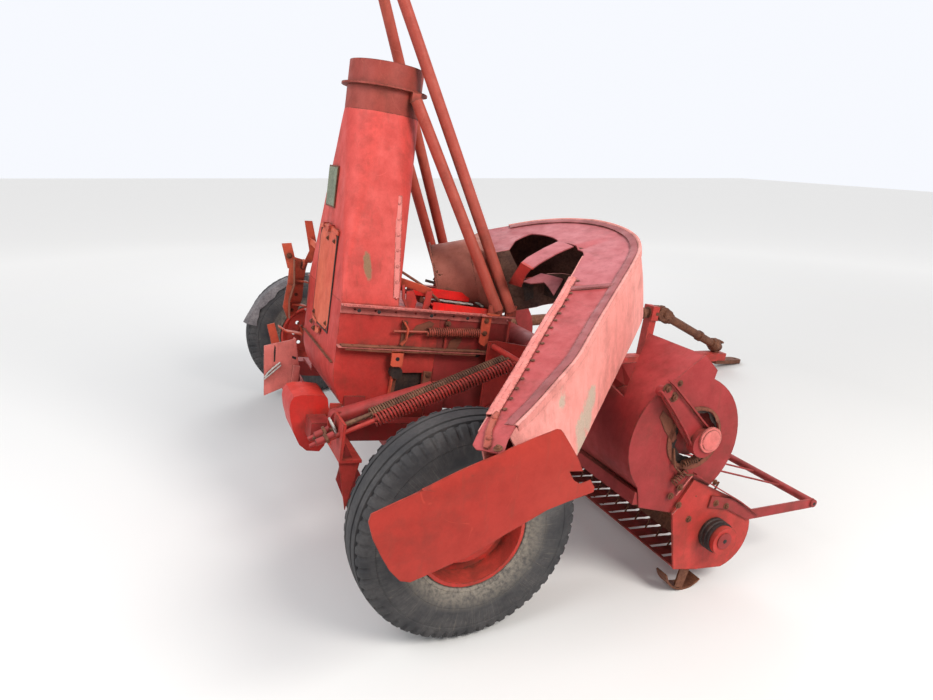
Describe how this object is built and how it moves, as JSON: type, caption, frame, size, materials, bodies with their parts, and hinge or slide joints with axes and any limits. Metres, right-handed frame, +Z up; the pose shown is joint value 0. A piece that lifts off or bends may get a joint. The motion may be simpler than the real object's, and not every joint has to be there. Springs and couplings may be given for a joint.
{
  "type": "forage harvester",
  "caption": "Trailed forage harvester with a side-set pickup header, a tapering discharge chute and its curved spout laid across the top.",
  "frame": {"origin": "centre of the machine's bounding box, on the ground under it", "axes": "+X forward along the direction of travel towards the drawbar's eye, +Y to the machine's left, +Z up; the machine is parked nose down on its drawbar"},
  "size_m": [3.9779, 3.4022, 2.8896],
  "materials": {
    "paint_red": "faded red paint, rusted at the edges",
    "paint_orange": "sun-bleached orange-red paint",
    "paint_pink": "bleached pink-red paint, flaked at the seams",
    "paint_flap": "bright red paint",
    "bare_steel": "rusty worn steel",
    "rod_steel": "worn hard-chromed rod",
    "tyre": "weathered cracked rubber",
    "rim_paint": "dull red paint with dirt"
  },
  "bodies": {
    "machine": {"axle_beam": "paint_red", "main_frame": "paint_red", "drawbar": "paint_red", "hitch_tongue": "bare_steel", "driveline_post": "paint_red", "power_shaft": "bare_steel", "chopper_housing": "paint_red", "top_rails": "paint_red", "feed_housing": "paint_red", "spout_rest": "paint_red", "drive_case": "paint_red", "rear_guard": "paint_orange", "tilted_cover": "paint_pink", "chute": "paint_red", "chute_collar": "paint_red", "collar_braces": "paint_red", "spout_mast": "paint_red", "spring_bracket": "paint_orange", "lift_springs": "bare_steel", "tension_spring": "paint_orange", "spout_base": "paint_pink", "spout_bend": "paint_pink", "spout_walls": "paint_pink", "spout_leg": "paint_pink"},
    "chute_door": {"chute_door": "paint_orange"},
    "spout_flap": {"spout_flap": "paint_flap"},
    "chopping_drum": {"chopping_drum": "bare_steel"},
    "feed_roll_upper": {"feed_roll_upper": "bare_steel"},
    "feed_roll_lower": {"feed_roll_lower": "bare_steel"},
    "header": {"header_throat": "paint_red", "header_trough": "paint_red", "header_ends": "paint_red", "bearing_arms": "paint_red", "pickup_ends": "paint_red", "stripper_bands": "paint_red", "windguard": "paint_red", "skid_shoes": "bare_steel"},
    "auger": {"auger": "bare_steel"},
    "pickup_reel": {"pickup_reel": "bare_steel"},
    "lift_barrel": {"lift_barrel": "paint_red"},
    "lift_rod": {"lift_rod": "rod_steel"},
    "wheel_left": {"tyre_left": "tyre", "rim_left": "rim_paint"},
    "wheel_right": {"tyre_right": "tyre", "rim_right": "rim_paint"}
  },
  "joints": [
    {"name": "wheel_left_spin", "type": "hinge", "parent": "machine", "child": "wheel_left", "pos_m": [-1.47111, 1.58363, 0.42], "axis": [0, 1, 0], "continuous": true},
    {"name": "wheel_right_spin", "type": "hinge", "parent": "machine", "child": "wheel_right", "pos_m": [-1.47111, -1.16637, 0.42], "axis": [0, 1, 0], "continuous": true},
    {"name": "header_lift", "type": "hinge", "parent": "machine", "child": "header", "pos_m": [-1.04915, -0.49136, 0.5398], "axis": [0, -1, 0], "range_deg": [0, 10], "deforming": ["lift_springs"]},
    {"name": "auger_spin", "type": "hinge", "parent": "header", "child": "auger", "pos_m": [-0.59701, -0.49136, 0.67233], "axis": [0, 1, 0], "continuous": true},
    {"name": "pickup_spin", "type": "hinge", "parent": "header", "child": "pickup_reel", "pos_m": [-0.45124, -0.49136, 0.24149], "axis": [0, 1, 0], "continuous": true},
    {"name": "feed_roll_upper_spin", "type": "hinge", "parent": "machine", "child": "feed_roll_upper", "pos_m": [-1.08692, -0.09137, 0.79806], "axis": [0, 1, 0], "continuous": true},
    {"name": "feed_roll_lower_spin", "type": "hinge", "parent": "machine", "child": "feed_roll_lower", "pos_m": [-1.15592, -0.09137, 0.63841], "axis": [0, 1, 0], "continuous": true},
    {"name": "chopper_spin", "type": "hinge", "parent": "machine", "child": "chopping_drum", "pos_m": [-1.48209, -0.09137, 0.7572], "axis": [0, 1, 0], "continuous": true},
    {"name": "door_swing", "type": "hinge", "parent": "machine", "child": "chute_door", "pos_m": [-1.6792, -0.09137, 1.35429], "axis": [0, 1, 0], "range_deg": [0, 90]},
    {"name": "flap_swing", "type": "hinge", "parent": "machine", "child": "spout_flap", "pos_m": [-1.60066, -1.68564, 0.93869], "axis": [0.241, 0.1155, -0.9636], "range_deg": [0, 40]},
    {"name": "lift_barrel_tilt", "type": "hinge", "parent": "machine", "child": "lift_barrel", "pos_m": [-1.78125, -0.57637, 0.64762], "axis": [0, -1, 0], "range_deg": [-0.2, 0.83]},
    {"name": "lift_rod_slide", "type": "slide", "parent": "lift_barrel", "child": "lift_rod", "axis": [-0.9861, 0, -0.1664], "range_m": [0, 0.0445]}
  ],
  "couplings": [
    {"joint": "lift_barrel_tilt", "follows": "header_lift", "ratio": 0.05271},
    {"joint": "lift_rod_slide", "follows": "header_lift", "m_per_rad": 0.23191}
  ]
}
